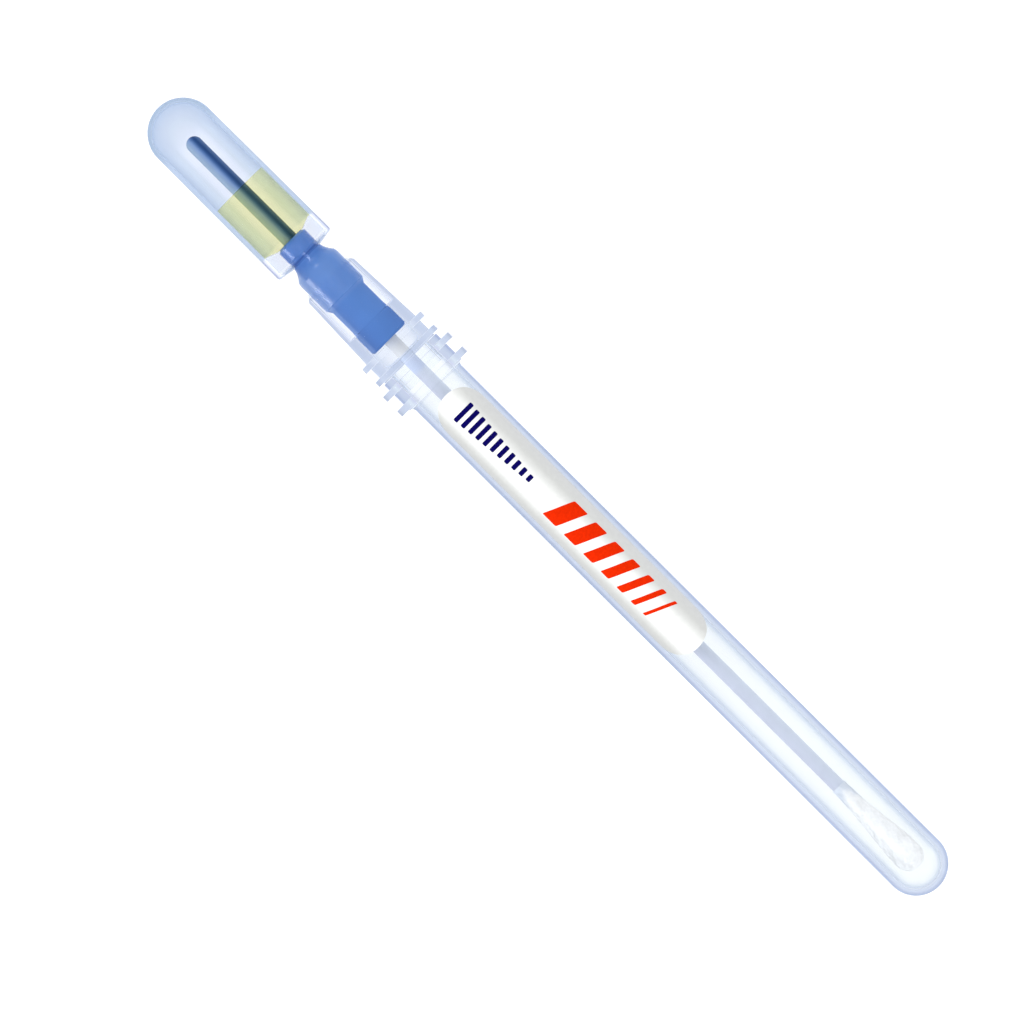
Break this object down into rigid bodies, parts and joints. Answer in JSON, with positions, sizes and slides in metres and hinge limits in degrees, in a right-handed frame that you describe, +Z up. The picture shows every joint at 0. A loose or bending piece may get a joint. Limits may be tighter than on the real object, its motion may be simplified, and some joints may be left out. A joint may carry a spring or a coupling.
{
  "type": "specimen swab tube",
  "caption": "Clear round-ended tube holding a sampling swab on a hollow shaft, with a snap valve and a squeeze bulb of liquid reagent as its handle.",
  "frame": {"origin": "on the surface it lies on, under the middle of its box", "axes": "+Z up through the label's middle; +X level, towards the tube's closed end. The device lies on one flange and its closed end, so its axis dips 1.16 degrees below +X."},
  "size_m": [0.178, 0.015, 0.015],
  "materials": {
    "clear_tube": "polished",
    "label_paper": "satin",
    "clear_collar": "polished",
    "blue_valve": "satin",
    "navy_stem": "satin",
    "white_plug": "satin",
    "milky_bulb": "satin",
    "reagent_liquid": "polished",
    "grey_shaft": "satin",
    "bud_fibre": "matte"
  },
  "bodies": {
    "tube": {"swab_tube": "clear_tube", "label": "label_paper"},
    "collar": {"collar": "clear_collar"},
    "swab": {"valve_body": "blue_valve", "snap_stem": "navy_stem", "bulb_plug": "white_plug", "bulb": "milky_bulb", "reagent": "reagent_liquid", "swab_shaft": "grey_shaft", "swab_bud": "bud_fibre"}
  },
  "joints": [
    {"name": "pull_out", "type": "slide", "parent": "tube", "child": "collar", "axis": [-0.9998, 0, 0.0203], "range_m": [0, 0.125]},
    {"name": "twist", "type": "hinge", "parent": "collar", "child": "swab", "pos_m": [-0.08898, 0, 0.00874], "axis": [-0.9998, 0, 0.0203], "continuous": true}
  ]
}
